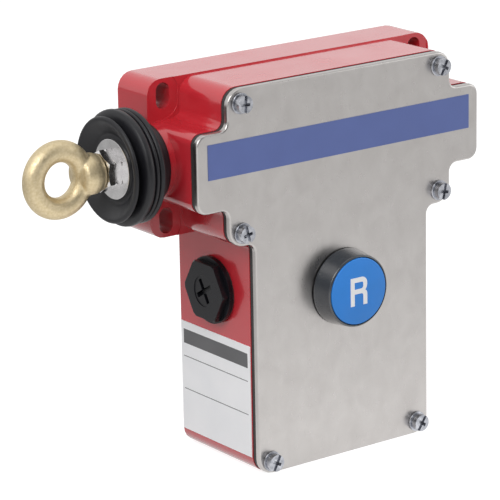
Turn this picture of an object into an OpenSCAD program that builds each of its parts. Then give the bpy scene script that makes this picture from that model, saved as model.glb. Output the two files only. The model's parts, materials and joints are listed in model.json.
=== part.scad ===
// Rope pull switch: a die-cast body with a stamped cover, a sprung pull rod on the left,
// a latching contact mechanism inside and a reset button on the cover.
// +X to the right, +Z up, the mounting face at y = 0 and the cover towards -Y.

/* [Body] */
// Width of the body across the flange
body_w = 125.8; // [118:0.1:140]
// Width of the raised tab behind the upper cover screws
tab_w = 99.4; // [96:0.1:104]
// Width of the column that holds the contacts
col_w = 77.6; // [74:0.1:84]
// Height of the top edge above the centre of the slots
top_h = 28.2; // [27:0.1:32]
// Half height of the full-width band
band_h = 14.1; // [13.8:0.1:15]
// Depth of the lower edge of the flange under the centre of the slots
base_h = 28.1; // [27:0.1:30]
// Depth of the column's lower end under the centre of the slots
col_h = 114.3; // [110:0.1:130]
// Depth of the die-cast body from the mounting face to the gasket
body_d = 42.5; // [42:0.1:50]
// Thickness of the slotted flange
flange_d = 18; // [12:0.1:20]
// How far the flange stands out past the body
flange_lip = 0.5; // [0.2:0.1:1]
// Thickness of the body's side walls
wall_t = 3; // [2.5:0.1:3.4]
// Thickness of the body's back wall
floor_t = 3; // [2.4:0.1:3.4]

/* [Corners] */
// Radius of the tab's and column's corners
tab_r = 6; // [4:0.1:7]
// Radius of the band's corners
band_r = 4; // [3.5:0.1:5]
// Radius of the inner corners
inner_r = 3.2; // [1:0.1:3.5]
// Radius of the flange's corners
flange_r = 5.5; // [4:0.1:7]

/* [Mounting slots] */
// Distance of the slots from the centre plane
slot_x = 56.5; // [56:0.1:57.5]
// Distance of the slots above and below their centre
slot_z = 22.5; // [21:0.1:23]
// Width of a slot
slot_w = 5.7; // [5:0.1:6]
// Length of a slot, from end to end
slot_l = 9.4; // [8:0.1:9.8]
// Width of the spot face round a slot
spot_d = 12.4; // [10:0.1:12.8]
// Depth of the spot face round a slot
spot_depth = 0.3; // [0.1:0.1:0.6]

/* [Cover] */
// Thickness of the stamped cover
cover_t = 2; // [1.5:0.1:3]
// Radius of the cover's rolled edge
cover_edge = 0.8; // [0.3:0.1:1.2]
// Thickness of the gasket under the cover
gasket_t = 2; // [1.5:0.1:3]
// Width of the gasket's band
gasket_w = 4; // [3:0.1:5]
// How far the gasket's edge stands back from the body's
gasket_set = 0.3; // [0:0.1:0.6]
// Distance of the upper and middle screws from the centre plane
screw_x = 44.3; // [43.5:0.1:44.6]
// Height of the upper screws, and depth of the middle ones
screw_z = 23.1; // [22.8:0.1:23.3]
// Distance of the lower screws from the centre plane
low_screw_x = 33.5; // [32.8:0.1:33.6]
// Height of the lower screws above the column's lower end
low_screw_z = 4.7; // [4.6:0.1:5.4]
// Diameter of the cover screws' thread
screw_d = 4; // [3:0.1:4]
// Diameter of the cover screws' heads
screw_head_d = 6.2; // [6:0.1:7]
// Height of the cover screws' heads
screw_head_h = 2.6; // [2:0.1:3]
// Length of the cover screws under the washer
screw_l = 14; // [10:0.5:18]
// Diameter of the washers under the cover screws
washer_d = 7.4; // [7.1:0.1:8.4]
// Thickness of the washers under the cover screws
washer_t = 0.8; // [0.5:0.1:1]
// Diameter of the posts that take the cover screws
boss_d = 9; // [8:0.1:9.2]

/* [Strip and label] */
// Height of the coloured strip's lower edge
strip_z = -2.05; // [-4:0.05:0]
// Height of the coloured strip
strip_h = 12.5; // [8:0.1:13]
// Margin beside the coloured strip
strip_margin = 4.5; // [4:0.1:10]
// Thickness of the strip and of the label
film_t = 0.25; // [0.1:0.05:0.4]
// Height of the label's lower edge above the column's lower end
label_z = 6; // [5.8:0.1:7]
// Distance from the label's upper edge up to the left plug
label_gap = 4.2; // [3:0.1:8]

/* [Pull rod] */
// Height of the rod's axis above the centre of the slots
rod_z = 1; // [0:0.1:1]
// Diameter of the rod
rod_d = 10; // [8:0.1:10]
// Travel of the rod from slack rope to the stop
rod_travel = 18; // [10:0.5:18]
// Diameter of the turret that carries the rubber boot
turret_d = 26; // [24:0.1:26]
// Length of the turret
turret_l = 9; // [8:0.1:10]
// Distance from the body's side to the face of the rod's washer
washer_reach = 18.2; // [17:0.1:20]
// Thickness of the rod's washer
rod_washer_t = 1.6; // [1:0.1:2]
// Diameter of the rod's washer
rod_washer_d = 21.2; // [18:0.1:21.4]
// Thickness of the boot's front wall
boot_wall = 2.7; // [2:0.1:3]
// How far the boot's widest fold stays inside the body's depth, at the front and at the back
boot_inset = 0.25; // [0.2:0.05:1]
// Diameter of the eye's threaded shank
shank_d = 8; // [6:0.1:8]
// Width across the flats of the two lock nuts
nut_af = 13; // [11:0.1:14]
// Thickness of both lock nuts together
nut_t = 5.5; // [4:0.1:6.5]
// Mean radius of the ring of the eye
ring_r = 10; // [9:0.1:12]
// Diameter of the ring's bar
ring_bar_d = 7.7; // [6:0.1:8]
// Distance from the lock nut to the ring's centre
ring_reach = 16.4; // [15:0.1:18]
// Diameter of the eye's collar
collar_d = 15; // [13:0.1:16]

/* [Main spring] */
// Diameter of the main spring's wire
spring_wire_d = 2.2; // [1.6:0.1:2.2]
// Outer diameter of the main spring
spring_d = 19.4; // [18:0.1:19.4]
// Number of turns in the main spring
spring_turns = 8; // [6:1:9]
// Distance from the centre plane to the spring's seat
seat_x = 12; // [11:0.1:14]

/* [Rocker] */
// Distance from the rocker's pivot to the roller on its upper arm
roller_arm = 26; // [26:0.1:28]
// Distance from the rocker's pivot to the pin on its lower arm
drive_arm = 9; // [8.8:0.1:9.2]
// Distance of the rocker's pivot to the left of the centre plane
pivot_x = 2; // [1:0.1:3]
// Diameter of the roller
roller_d = 5.4; // [4:0.1:5.4]
// Diameter of the rocker's pivot pin
pivot_d = 5; // [4:0.1:6]
// Thickness of the rocker's plate
rocker_t = 2.5; // [2:0.1:3]

/* [Contacts] */
// Width of the contact block
block_w = 48; // [46:0.5:52]
// Pitch of the terminals
terminal_pitch = 10; // [9.6:0.1:10.2]
// Thickness of the contact block's floor
block_floor = 3.5; // [3:0.1:3.6]
// Height of the contact carrier's bar
carrier_h = 7; // [6:0.1:7]

/* [Reset button] */
// Depth of the button's centre under the centre of the slots
button_z = 50.9; // [50.8:0.1:51.6]
// Outer diameter of the button's bezel
bezel_d = 28.2; // [27.6:0.1:30]
// How far the bezel stands out from the cover
bezel_h = 8.5; // [8:0.1:9]
// Diameter of the bezel's threaded barrel
barrel_d = 22; // [21:0.1:22.4]
// Width of the bezel's rim round the cap
bezel_rim = 1.9; // [1.7:0.1:2.1]
// Travel of the button
button_travel = 3; // [2:0.1:3]

/* [Cable entries] */
// Diameter of the cable entries' thread
entry_d = 20.4; // [18:0.1:20.4]
// Depth of the side entries under the centre of the slots
entry_z = 50.3; // [48:0.1:54]
// Thickness of the wall round an entry
entry_wall = 6; // [5:0.1:7]
// Diameter of the blanking plugs' collar
plug_d = 24.6; // [24:0.1:26]
// Width across the flats of the blanking plugs
plug_af = 20.6; // [19:0.1:21.2]

/* [Hidden] */

$fn = 48;
corner_steps = 5;         // facets in a rounded corner
fit = 0.05;               // radial clearance of a seated or sliding fit
gap = 0.3;                // clearance between parts that pass each other
play = 0.5;               // end play of a turning part
through = 1;              // overshoot of a cut

cover_back = body_d + gasket_t;
front = cover_back + cover_t;
rod_y = -body_d / 2;
side_x = body_w / 2;
col_x = col_w / 2;
tab_x = tab_w / 2;

body_corners = [[-col_x, -col_h, tab_r], [col_x, -col_h, tab_r],
    [col_x, -base_h, inner_r], [tab_x, -base_h, tab_r],
    [tab_x, -band_h, inner_r], [side_x, -band_h, band_r],
    [side_x, band_h, band_r], [tab_x, band_h, inner_r],
    [tab_x, top_h, tab_r], [-tab_x, top_h, tab_r],
    [-tab_x, band_h, inner_r], [-side_x, band_h, band_r],
    [-side_x, -band_h, band_r], [-tab_x, -band_h, inner_r],
    [-tab_x, -base_h, tab_r], [-col_x, -base_h, inner_r]];
flange_corners = [[-side_x, -base_h, flange_r], [side_x, -base_h, flange_r],
    [side_x, top_h, flange_r], [-side_x, top_h, flange_r]];
screw_places = [[-screw_x, screw_z], [screw_x, screw_z], [-screw_x, -screw_z],
    [screw_x, -screw_z], [-low_screw_x, low_screw_z - col_h], [low_screw_x, low_screw_z - col_h]];
screw_turns = [3, 27, -14, 12, 27, 34];  // how far each slot stands from upright, in degrees

// Outlines: corners are [x, z, radius], counterclockwise, and every edge runs along X or Z.
function unit(v) = v / norm(v);
function left_of(v) = [-v[1], v[0]];
function corner_arc(before, here, after, inset) =
    let (p = [here[0], here[1]],
         d_in = unit(p - [before[0], before[1]]),
         d_out = unit([after[0], after[1]] - p),
         turn = d_in[0] * d_out[1] - d_in[1] * d_out[0],
         q = p + inset * (left_of(d_in) + left_of(d_out)),
         r = max(here[2] - turn * inset, 0.4),
         centre = q + r * (d_out - d_in))
    [for (k = [0:corner_steps]) let (a = 90 * k / corner_steps)
        centre + r * (d_in * sin(a) - d_out * cos(a))];
function outline(corners, inset = 0) = let (n = len(corners))
    [for (i = [0:n - 1])
        each corner_arc(corners[(i + n - 1) % n], corners[i], corners[(i + 1) % n], inset)];

// A curve through a closed list of points, by cutting each corner twice.
function cut_corners(p, passes) = passes == 0 ? p : cut_corners(
    [for (i = [0:len(p) - 1]) let (q = p[(i + 1) % len(p)])
        each [0.75 * p[i] + 0.25 * q, 0.25 * p[i] + 0.75 * q]], passes - 1);

// Solids in the frame of the part; y0 is nearer the front than y1.
module prism(points, y0, y1) {
    translate([0, y1, 0]) rotate([90, 0, 0]) linear_extrude(y1 - y0) polygon(points);
}
module disc_y(x, z, y0, y1, d) {
    translate([x, y1, z]) rotate([90, 0, 0]) cylinder(h = y1 - y0, d = d);
}
module disc_x(x0, x1, d, y = rod_y, z = rod_z) {
    translate([x0, y, z]) rotate([0, 90, 0]) cylinder(h = x1 - x0, d = d);
}
module block(x0, x1, y0, y1, z0, z1) {
    translate([x0, y0, z0]) cube([x1 - x0, y1 - y0, z1 - z0]);
}
module ring_y(x, z, y0, y1, d, bore) {
    difference() {
        disc_y(x, z, y0, y1, d);
        disc_y(x, z, y0 - through, y1 + through, bore);
    }
}
module ring_x(x0, x1, d, bore) {
    difference() {
        disc_x(x0, x1, d);
        disc_x(x0 - through, x1 + through, bore);
    }
}
// Rim swept round an outline: profile is a closed list of [y, inset], front first.
module swept_rim(corners, profile) {
    n = len(outline(corners));
    m = len(profile);
    points = [for (s = profile) each [for (p = outline(corners, s[1])) [p[0], s[0], p[1]]]];
    polyhedron(points, [for (k = [0:m - 1]) each [for (i = [0:n - 1])
        let (j = (i + 1) % n, a = k * n, b = (k + 1) % m * n) [a + i, a + j, b + j, b + i]]]);
}
// Round wire wound along Z from 0 to length.
module coil(mean_r, wire_d, length, turns) {
    rings = 14 * turns;
    sides = 6;
    rise = length - wire_d;
    points = [for (i = [0:rings]) let (a = 360 * turns * i / rings, h = wire_d / 2 + rise * i / rings)
        each [for (k = [0:sides - 1]) let (b = 360 * k / sides, r = mean_r + wire_d / 2 * cos(b))
            [r * cos(a), r * sin(a), h + wire_d / 2 * sin(b)]]];
    skin = [for (i = [0:rings - 1]) each [for (k = [0:sides - 1])
        let (m = (k + 1) % sides, a = i * sides, b = a + sides) [a + k, a + m, b + m, b + k]]];
    ends = [[for (k = [sides - 1:-1:0]) k], [for (k = [0:sides - 1]) rings * sides + k]];
    polyhedron(points, concat(ends, skin));
}

// ---- Body ----
bush_d = 15;              // outer diameter of both bushes
web_x = 28;               // left face of the inner web that carries the rear bush
web_t = 6;
post_d = 7;               // posts under the chassis plate
post_h = 2;
chassis_screw_d = 3;
chassis_x = 26;
chassis_rim = 5;          // from the chassis screws out to the edge of the plate
chassis_top = -16;        // height of the upper chassis screws
chassis_low = -82;        // height of the lower chassis screws
earth_x = 22;
earth_z = (chassis_low - chassis_rim + wall_t - col_h) / 2;  // midway between plate and wall
earth_post_h = 5;
turret_end = -side_x - turret_l;

module oblong(x, z, y0, y1, w) {
    half = (slot_l - slot_w) / 2;
    block(x - w / 2, x + w / 2, y0, y1, z - half, z + half);
    for (s = [-1, 1]) disc_y(x, z + s * half, y0, y1, w);
}
module slot_cut(x, z) {
    oblong(x, z, -flange_d - through, through, slot_w);
    oblong(x, z, -flange_d - through, -flange_d + spot_depth, spot_d);
}
module housing() {
    color("firebrick") difference() {
        union() {
            prism(outline(body_corners), -body_d, 0);
            prism(outline(flange_corners, -flange_lip), -flange_d, 0);
            disc_x(turret_end, -side_x + wall_t, turret_d);
        }
        difference() {
            prism(outline(body_corners, wall_t), -body_d - through, -floor_t);
            for (p = screw_places) disc_y(p[0], p[1], -body_d - 2 * through, 0, boss_d);
            block(web_x, web_x + web_t, rod_y - bush_d / 2 - wall_t, 0,
                rod_z - bush_d / 2 - 2, rod_z + bush_d / 2 + 2);
            for (x = [-chassis_x, chassis_x], z = [chassis_top, chassis_low])
                disc_y(x, z, -floor_t - post_h, 0, post_d);
            disc_y(earth_x, earth_z, -floor_t - earth_post_h, 0, boss_d);
            for (s = [-1, 1]) translate([s * (col_x - entry_wall / 2), 0, 0])
                disc_x(-entry_wall / 2, entry_wall / 2, plug_d + 2, rod_y, -entry_z);
            translate([0, rod_y, -col_h]) cylinder(h = entry_wall, d = plug_d + 2);
        }
        for (p = screw_places)
            disc_y(p[0], p[1], -body_d - through, -body_d + screw_l, screw_d + 2 * fit);
        for (x = [-slot_x, slot_x], z = [-slot_z, slot_z]) slot_cut(x, z);
        disc_x(turret_end - through, -side_x + wall_t + through, bush_d + 2 * fit);
        disc_x(web_x - through, web_x + web_t + through, bush_d + 2 * fit);
        for (x = [-chassis_x, chassis_x], z = [chassis_top, chassis_low])
            disc_y(x, z, -floor_t - post_h - through, -1, chassis_screw_d + 2 * fit);
        disc_y(earth_x, earth_z, -floor_t - earth_post_h - through, -1, screw_d + 2 * fit);
        disc_x(-col_x - through, -col_x + entry_wall + through, entry_d, rod_y, -entry_z);
        disc_x(col_x - entry_wall - through, col_x + through, entry_d, rod_y, -entry_z);
        translate([0, rod_y, -col_h - through]) cylinder(h = entry_wall + 2 * through, d = entry_d);
    }
}

// ---- Cover ----
module cover() {
    e = cover_edge;
    color("silver") difference() {
        union() {
            prism(outline(body_corners, e + 0.5), -front, -cover_back);
            swept_rim(body_corners, [[-front, e], [-front + 0.12 * e, 0.5 * e],
                [-front + 0.5 * e, 0.12 * e], [-front + e, 0], [-cover_back, 0],
                [-cover_back, e + 1], [-front, e + 1]]);
        }
        for (p = screw_places)
            disc_y(p[0], p[1], -front - through, -cover_back + through, screw_d + 2 * gap);
        disc_y(0, -button_z, -front - through, -cover_back + through, barrel_d + 2 * fit);
    }
}
module cover_gasket() {
    color("dimgray") difference() {
        prism(outline(body_corners, gasket_set), -cover_back, -body_d);
        difference() {
            prism(outline(body_corners, gasket_w), -cover_back - through, -body_d + through);
            for (p = screw_places)
                disc_y(p[0], p[1], -cover_back - 2 * through, -body_d + 2 * through, boss_d);
        }
        for (p = screw_places)
            disc_y(p[0], p[1], -cover_back - through, -body_d + through, screw_d + 2 * gap);
    }
}
module cheese_screw(x, z, seat, thread_d, head_d, head_h, length, turned = 0) {
    recess = 0.55 * head_h;
    slot = 0.09 * head_d;
    difference() {
        union() {
            disc_y(x, z, seat - head_h, seat, head_d);
            disc_y(x, z, seat, seat + length, thread_d);
        }
        translate([x, 0, z]) rotate([0, turned, 0]) {
            block(-slot, slot, seat - head_h - through, seat - head_h + recess, -head_d, head_d);
            block(-0.3 * head_d, 0.3 * head_d, seat - head_h - through,
                seat - head_h + 1.2 * recess, -slot, slot);
        }
    }
}
module cover_screws() {
    color("lightgray") for (i = [0:len(screw_places) - 1])
        cheese_screw(screw_places[i][0], screw_places[i][1], -front - washer_t, screw_d,
            screw_head_d, screw_head_h, screw_l + washer_t, screw_turns[i]);
}
module cover_washers() {
    color("gainsboro") for (p = screw_places)
        ring_y(p[0], p[1], -front - washer_t, -front, washer_d, screw_d + 2 * gap);
}
module front_strip() {
    color("slateblue") block(-side_x + strip_margin, side_x - strip_margin, -front - film_t, -front,
        strip_z, strip_z + strip_h);
}
module side_label() {
    color("whitesmoke") block(-col_x - film_t, -col_x, -body_d + gap, -gap,
        label_z - col_h, -entry_z - plug_d / 2 - label_gap);
}

// ---- Pull rod ----
washer_face = -side_x - washer_reach;             // outer face of the rod's washer
boot_face = washer_face + rod_washer_t;           // outer face of the boot's front wall
rod_start = boot_face + boot_wall;
boot_gap = 3;                                     // between the boot and the body's side
rod_end = side_x - wall_t - 6;
rod_flange_d = 16;
rod_flange_t = 1.5;
shank_l = 10;                                     // thread of the eye inside the rod
collar_l = 8.4;
nut_face = washer_face - nut_t;
ring_x = nut_face - ring_reach;
bush_flange_t = 2;
bush_flange_d = 18;
spring_start = -side_x + wall_t + bush_flange_t;
spool_groove_w = roller_d + 2 * gap;
spool_flange_t = 2;
spool_flange_d = 18;
spool_hub_d = 13;
clip_t = 1;
roller_x = rod_travel / 2 - pivot_x;              // roller and groove with the rope slack
seat_t = 3;

module front_bush() {
    color("goldenrod") difference() {
        union() {
            disc_x(turret_end + play, -side_x + wall_t, bush_d);
            disc_x(-side_x + wall_t, spring_start, bush_flange_d);
        }
        disc_x(turret_end - through, spring_start + through, rod_d + 2 * fit);
    }
}
module rear_bush() {
    color("goldenrod") ring_x(web_x, web_x + web_t, bush_d, rod_d + 2 * fit);
}
module pull_rod() {
    color("lightsteelblue") difference() {
        union() {
            disc_x(rod_start, rod_start + rod_flange_t, rod_flange_d);
            disc_x(rod_start, rod_end, rod_d);
        }
        disc_x(rod_start - through, rod_start + shank_l + 1, shank_d + 2 * fit);
    }
}
module pull_eye() {
    r = collar_d / 2;
    color("darkkhaki") {
        translate([ring_x, rod_y, rod_z]) rotate([90, 0, 0]) rotate_extrude($fn = 72)
            translate([ring_r, 0]) circle(d = ring_bar_d);
        translate([0, rod_y, rod_z]) rotate([0, 90, 0]) rotate_extrude() polygon([
            [0, ring_x + ring_r], [ring_bar_d / 2 - 0.1, ring_x + ring_r],
            for (a = [-60:15:45]) [r - 2.6 * (1 - cos(a)), nut_face - collar_l / 2 + collar_l / 2 * sin(a)],
            [0.78 * r, nut_face], [0, nut_face]]);
        disc_x(nut_face, rod_start + shank_l, shank_d);
    }
}
module lock_nut() {
    color("silver") difference() {
        for (k = [0, 1]) intersection() {
            translate([nut_face, rod_y, rod_z]) rotate([0, 90, 0])
                cylinder(h = nut_t, d = nut_af / cos(30), $fn = 6);
            translate([nut_face + k * nut_t / 2, rod_y, rod_z]) rotate([0, 90, 0])
                rotate_extrude() polygon([[0, 0], [nut_af / 2, 0], [nut_af / 2 + 1.2, 0.7],
                    [nut_af / 2 + 1.2, nut_t / 2 - 0.5], [nut_af / 2 + 0.4, nut_t / 2], [0, nut_t / 2]]);
        }
        disc_x(nut_face - through, washer_face + through, shank_d + 2 * fit);
    }
}
module rod_washer() {
    color("gainsboro") ring_x(washer_face, boot_face, rod_washer_d, shank_d + 2 * gap);
}
module spring_seat() {
    color("gray") ring_x(-seat_x, -seat_x + seat_t, spring_d, rod_d + 2 * fit);
}
module drive_spool() {
    half = spool_groove_w / 2;
    color("dimgray") difference() {
        union() {
            disc_x(-seat_x + seat_t, web_x - gap, spool_hub_d);
            disc_x(roller_x - half - spool_flange_t, roller_x - half, spool_flange_d);
            disc_x(roller_x + half, roller_x + half + spool_flange_t, spool_flange_d);
        }
        disc_x(-side_x, side_x, rod_d + 2 * fit);
    }
}
module rod_clip() {
    x = web_x + web_t + rod_travel + gap;
    color("darkgray") ring_x(x, x + clip_t, 1.5 * rod_d, rod_d + 2 * fit);
}
module rubber_boot() {
    bore = turret_d / 2 + fit;
    hole = shank_d / 2 + gap;
    rim = body_d / 2 - boot_inset;
    valley = bore + 1.6;
    seat = rod_washer_d / 2;
    back = -side_x - boot_gap - boot_face;
    // Section as [distance behind the washer, radius]: outside from the turret to the front lip,
    // then the washer's seat and the inside back to the turret.
    section = [[back, valley], [8.2, valley + 0.4], [7.7, rim - 0.6], [5.5, rim - 0.6],
        [5.2, rim - 2.4], [4.9, rim - 0.6], [3.7, rim - 0.6], [3.4, rim - 3], [3.1, rim - 0.4],
        [-0.2, rim - 0.4], [-0.8, valley], [-2, valley], [-2.6, rim - 2.2], [-4.1, rim - 2.2],
        [-4, rim - 4.6], [0, seat + 2.4], [0, seat + 0.8], [0, hole], [boot_wall, hole],
        [boot_wall, rim - 5], [5, rim - 5], [5.3, bore], [back, bore]];
    color([0.15, 0.15, 0.16]) translate([0, rod_y, rod_z]) rotate([0, 90, 0]) rotate_extrude()
        polygon([for (p = cut_corners(section, 2)) [p[1], boot_face + p[0]]]);
}
module main_spring() {
    length = -seat_x - spring_start;
    color("lightslategray") translate([spring_start + gap, rod_y, rod_z]) rotate([0, 90, 0])
        coil((spring_d - spring_wire_d) / 2, spring_wire_d, length - 2 * gap, spring_turns);
}

// ---- Chassis and rocker ----
chassis_t = 1.5;
chassis_y1 = -floor_t - post_h;
chassis_y0 = chassis_y1 - chassis_t;
tilt = asin(rod_travel / 2 / roller_arm);         // lean of the rocker at each end of the travel
pivot_z = rod_z - roller_arm;
roller_y = rod_y - spool_hub_d / 2 - gap;         // inner end of the roller
rocker_y1 = rod_y - spool_flange_d / 2 - play;
rocker_y0 = rocker_y1 - rocker_t;
rocker_post_d = 9;
drive_pin_d = 3;
roller_pin = [-pivot_x + roller_arm * sin(tilt), pivot_z + roller_arm * cos(tilt)];
drive_at = [-pivot_x - drive_arm * sin(tilt), pivot_z - drive_arm * cos(tilt)];

module chassis_plate() {
    color("silver") difference() {
        block(-chassis_x - chassis_rim, chassis_x + chassis_rim, chassis_y0, chassis_y1,
            chassis_low - chassis_rim, chassis_top + chassis_rim);
        for (x = [-chassis_x, chassis_x], z = [chassis_top, chassis_low])
            disc_y(x, z, chassis_y0 - through, chassis_y1 + through, chassis_screw_d + 2 * gap);
        for (x = [-block_screw_x, block_screw_x])
            disc_y(x, block_screw_z, chassis_y0 - through, chassis_y1 + through,
                chassis_screw_d + 2 * fit);
    }
}
module chassis_screws() {
    color("lightgray") for (x = [-chassis_x, chassis_x], z = [chassis_top, chassis_low])
        cheese_screw(x, z, chassis_y0, chassis_screw_d, 5.5, 2, chassis_t + post_h);
}
module rocker_post() {
    color("lightsteelblue") {
        disc_y(-pivot_x, pivot_z, rocker_y1 + play, chassis_y0, rocker_post_d);
        disc_y(-pivot_x, pivot_z, rocker_y0 - 2, rocker_y1 + play, pivot_d);
    }
}
module rocker_clip() {
    color("darkgray") ring_y(-pivot_x, pivot_z, rocker_y0 - gap - clip_t, rocker_y0 - gap,
        1.8 * pivot_d, pivot_d + 2 * fit);
}
module rocker_arm(to, d0, d1) {
    hull() {
        disc_y(-pivot_x, pivot_z, rocker_y0, rocker_y1, d0, $fn = 32);
        disc_y(to[0], to[1], rocker_y0, rocker_y1, d1, $fn = 32);
    }
}
module rocker_lever() {
    color("lightgray") difference() {
        union() {
            rocker_arm(roller_pin, 11, 8);
            rocker_arm(drive_at, 11, 6);
        }
        disc_y(-pivot_x, pivot_z, rocker_y0 - through, rocker_y1 + through, pivot_d + 2 * fit);
        disc_y(roller_pin[0], roller_pin[1], rocker_y0 - through, rocker_y1 + through, 3 + 2 * fit);
        disc_y(drive_at[0], drive_at[1], rocker_y0 - through, rocker_y1 + through,
            drive_pin_d + 2 * fit);
    }
}
module rocker_roller() {
    color("goldenrod") {
        disc_y(roller_pin[0], roller_pin[1], rocker_y0 - 0.8, rocker_y1, 3);
        disc_y(roller_pin[0], roller_pin[1], rocker_y1, roller_y, roller_d);
    }
}
module drive_pin() {
    color("goldenrod") disc_y(drive_at[0], drive_at[1], rocker_y0 - 0.8, carrier_y0 + 2, drive_pin_d);
}

// ---- Contact block, carrier and latch ----
block_top = pivot_z - 5;
block_low = -78;
block_y0 = chassis_y0 - block_floor;              // face of the block's floor
block_screw_x = 21;
block_screw_z = -54;
contact_t = 0.6;
contact_w = 3;
stroke = rod_travel * drive_arm / roller_arm;     // travel of the contact carrier
bridge_y1 = block_y0 - contact_t - gap - 1.3;     // back of the bridges' strips
bridge_t = 1;
carrier_y1 = bridge_y1 - bridge_t;
carrier_y0 = carrier_y1 - 11.3;
bar_drop = 3.4;           // top of the carrier's bar under the drive pin
bar_top = drive_at[1] - bar_drop;
bar_low = bar_top - carrier_h;
rail_t = 2.2;
rail_y0 = carrier_y0 + 3.5;
tab_y0 = carrier_y0 - 4;
latch_y = carrier_y0 - 3.4;                       // axis of the latch's pin
latch_z = bar_top - 4;
latch_pin_d = 2.4;
latch_turn_max = 17;
latch_plate_y0 = latch_y - 1.1;
latch_t = 1.5;
tooth_x = [11, 15];
ear_x = [[7.5, 9], [17, 18.5]];
terminals = [for (k = [-1.5:1:1.5]) k * terminal_pitch];
terminal_rise = 9;
terminal_z = block_low + terminal_rise;
clamp_half = 3.2;         // half width of a clamp
clamp_lift = 5;           // front of a clamp in front of the block's floor
clamp_t = 1.2;
fence_d = 12;             // depth of the fences between the terminals
carrier_left = -18;
carrier_right = 17.5;
rail_margin = 4;
yoke_half = 5;            // half width of the yoke round the drive pin
yoke_t = 2.5;
yoke_rise = 3.4;
lip_t = 3;                // lip that the latch drops behind
lip_h = 5.2;

module contact_block() {
    half = block_w / 2;
    color([0.2, 0.2, 0.22]) difference() {
        union() {
            block(-half, half, block_y0, chassis_y0, block_low, block_top);
            for (z = [bar_top + gap, bar_low - gap - rail_t])
                block(-half + rail_margin, half - rail_margin, rail_y0, block_y0, z, z + rail_t);
            for (k = [-2:2]) block(k * terminal_pitch - 0.8, k * terminal_pitch + 0.8,
                block_y0 - fence_d, block_y0, block_low, 2 * terminal_z - block_low);
            for (e = ear_x) {
                block(e[0], e[1], latch_y - 2.3, block_y0, bar_low - gap - rail_t - 2.4, bar_low - gap);
                block(e[0], e[1], latch_y - 2.3, latch_y + 2.3, bar_low - gap - 1, latch_z + 2.3);
            }
        }
        for (x = terminals) block(x - contact_w / 2 - gap, x + contact_w / 2 + gap,
            block_y0 - contact_t - gap, block_y0, block_low, bar_top + gap + rail_t + through);
        for (x = terminals) disc_y(x, terminal_z, block_y0 - through, chassis_y0 + through,
            chassis_screw_d + 2 * fit);
        for (x = [-block_screw_x, block_screw_x])
            disc_y(x, block_screw_z, block_y0 - through, chassis_y0 + through,
                chassis_screw_d + 2 * fit);
        disc_x(ear_x[0][0] - through, ear_x[1][1] + through, latch_pin_d + 2 * fit, latch_y, latch_z);
        disc_y(-pivot_x, pivot_z, block_y0 - through, chassis_y0 + through, rocker_post_d + 2 * gap);
    }
}
module block_screws() {
    color("lightgray") for (x = [-block_screw_x, block_screw_x])
        cheese_screw(x, block_screw_z, block_y0, chassis_screw_d, 5, 2, block_floor + chassis_t);
}
module fixed_contacts() {
    color("peru") for (x = terminals) difference() {
        block(x - contact_w / 2, x + contact_w / 2, block_y0 - contact_t, block_y0,
            terminal_z - clamp_half, bar_top - 1);
        disc_y(x, terminal_z, block_y0 - 2, block_y0 + through, 2.2);
    }
}
module terminal_screws() {
    color("lightgray") for (x = terminals)
        cheese_screw(x, terminal_z, block_y0 - clamp_lift, 2, 5.4, 2, clamp_lift + block_floor - 1);
}
module terminal_clamps() {
    color("khaki") for (x = terminals) difference() {
        block(x - clamp_half, x + clamp_half, block_y0 - clamp_lift, block_y0 - clamp_lift + clamp_t,
            terminal_z - clamp_half, terminal_z + clamp_half);
        disc_y(x, terminal_z, block_y0 - clamp_lift - through, block_y0 - through, 2 + 2 * fit);
    }
}
module contact_carrier() {
    window_x = [tooth_x[0] - stroke - gap, tooth_x[1] + gap];
    slot_half = drive_pin_d / 2 + gap / 2;
    color("ivory") difference() {
        union() {
            block(carrier_left, carrier_right, carrier_y0, carrier_y1, bar_low, bar_top);
            block(drive_at[0] - yoke_half, drive_at[0] + yoke_half, tab_y0, carrier_y0 + yoke_t,
                bar_low, drive_at[1] + yoke_rise);
            block(window_x[0] - 1.5, carrier_right, carrier_y0, carrier_y0 + lip_t, bar_low,
                bar_top + lip_h);
        }
        block(drive_at[0] - slot_half, drive_at[0] + slot_half, tab_y0 - through, carrier_y0 + 3,
            drive_at[1] - 2.6, drive_at[1] + 2);
        block(window_x[0], window_x[1], carrier_y0 - through, carrier_y0 + 2, bar_top - 2, bar_top + 3.6);
    }
}
module contact_bridges() {
    shift = [0, -stroke];                         // the second bridge closes at the end of the stroke
    color("peru") for (k = [0, 1]) {
        a = terminals[2 * k] + shift[k];
        b = terminals[2 * k + 1] + shift[k];
        block(a - 1.5, b + 1.5, carrier_y1, bridge_y1, latch_z - 2, latch_z + 2);
        for (x = [a, b]) disc_y(x, latch_z, bridge_y1, block_y0 - contact_t - gap, 2.4);
    }
}
module latch_pin() {
    color("silver") disc_x(ear_x[0][0], ear_x[1][1], latch_pin_d, latch_y, latch_z);
}
module latch_spring() {
    color("lightslategray") translate([ear_x[0][1] + gap, latch_y, latch_z]) rotate([0, 90, 0])
        coil(latch_pin_d / 2 + 0.7, 0.5, tooth_x[0] - ear_x[0][1] - 2 * gap, 2);
}
module latch_lever() {
    y0 = latch_plate_y0;
    y1 = y0 + latch_t;
    foot_top = bar_low - gap - rail_t - stick_d / 2;
    foot_low = -button_z - stick_d / 2;
    color("lightgray") difference() {
        union() {
            disc_x(tooth_x[0], ear_x[1][0] - gap, latch_pin_d + 1.6, latch_y, latch_z);
            block(tooth_x[0], tooth_x[1], y0, y1, foot_low, bar_top + 2);
            block(-4, tooth_x[1], y0, y1, foot_low, foot_top);
            block(tooth_x[0], tooth_x[1], y0, carrier_y0 + 1.2, bar_top - 1, bar_top + 2);
        }
        disc_x(tooth_x[0] - through, ear_x[1][0], latch_pin_d + 2 * fit, latch_y, latch_z);
    }
}

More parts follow.
